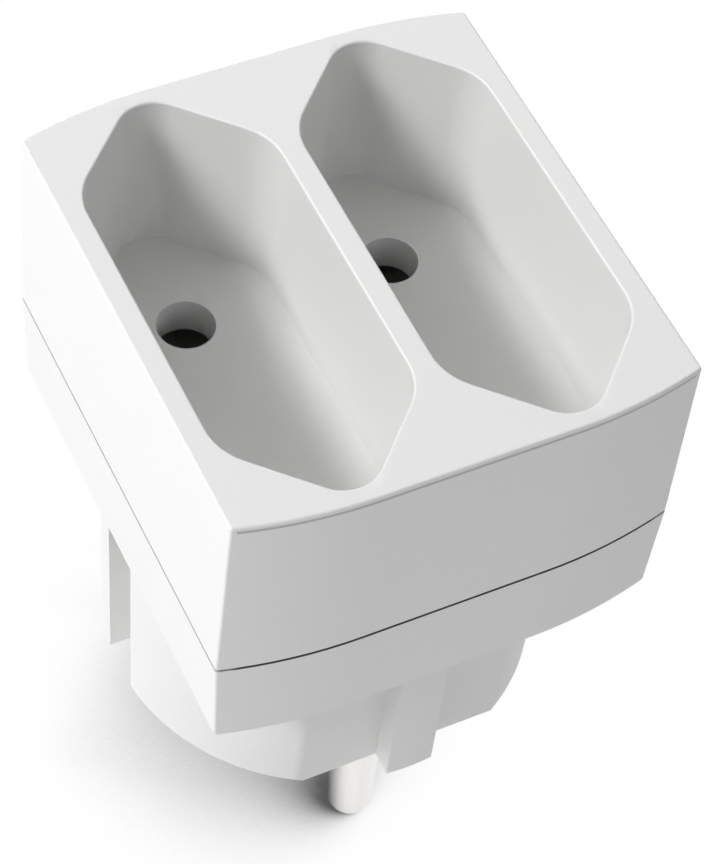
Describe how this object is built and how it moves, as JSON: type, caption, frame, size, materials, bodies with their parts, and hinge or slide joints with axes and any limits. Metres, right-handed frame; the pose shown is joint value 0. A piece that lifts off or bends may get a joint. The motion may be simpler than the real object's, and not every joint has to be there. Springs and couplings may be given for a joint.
{
  "type": "two-way flat plug adapter",
  "caption": "White wall adapter block: round plug with two pins below, side by side flat two-pin sockets on top.",
  "frame": {"origin": "middle of the plug's flat face, between the two pins", "axes": "+Z out of the wall, through the sockets; Y along the line of the pins; X across the two sockets"},
  "size_m": [0.037, 0.0406, 0.0633],
  "materials": {
    "white_housing": "moulded white thermoplastic, satin, fine even texture",
    "nickel_plate": "nickel plated brass, bright, drawn along its length",
    "contact_brass": "rolled brass strip, bare",
    "spring_steel": "spring steel band, oiled",
    "zinc_steel": "zinc plated steel"
  },
  "bodies": {
    "root": {"bus_bar_line": "contact_brass", "bus_bar_neutral": "contact_brass", "contact_left_line": "contact_brass", "contact_left_neutral": "contact_brass", "contact_right_line": "contact_brass", "contact_right_neutral": "contact_brass", "contact_rivets": "contact_brass", "contact_spring_left_line": "spring_steel", "contact_spring_left_neutral": "spring_steel", "contact_spring_right_line": "spring_steel", "contact_spring_right_neutral": "spring_steel", "housing_screws": "zinc_steel", "plug_housing": "white_housing", "plug_pin_line": "nickel_plate", "plug_pin_neutral": "nickel_plate", "socket_housing": "white_housing"}
  },
  "joints": []
}
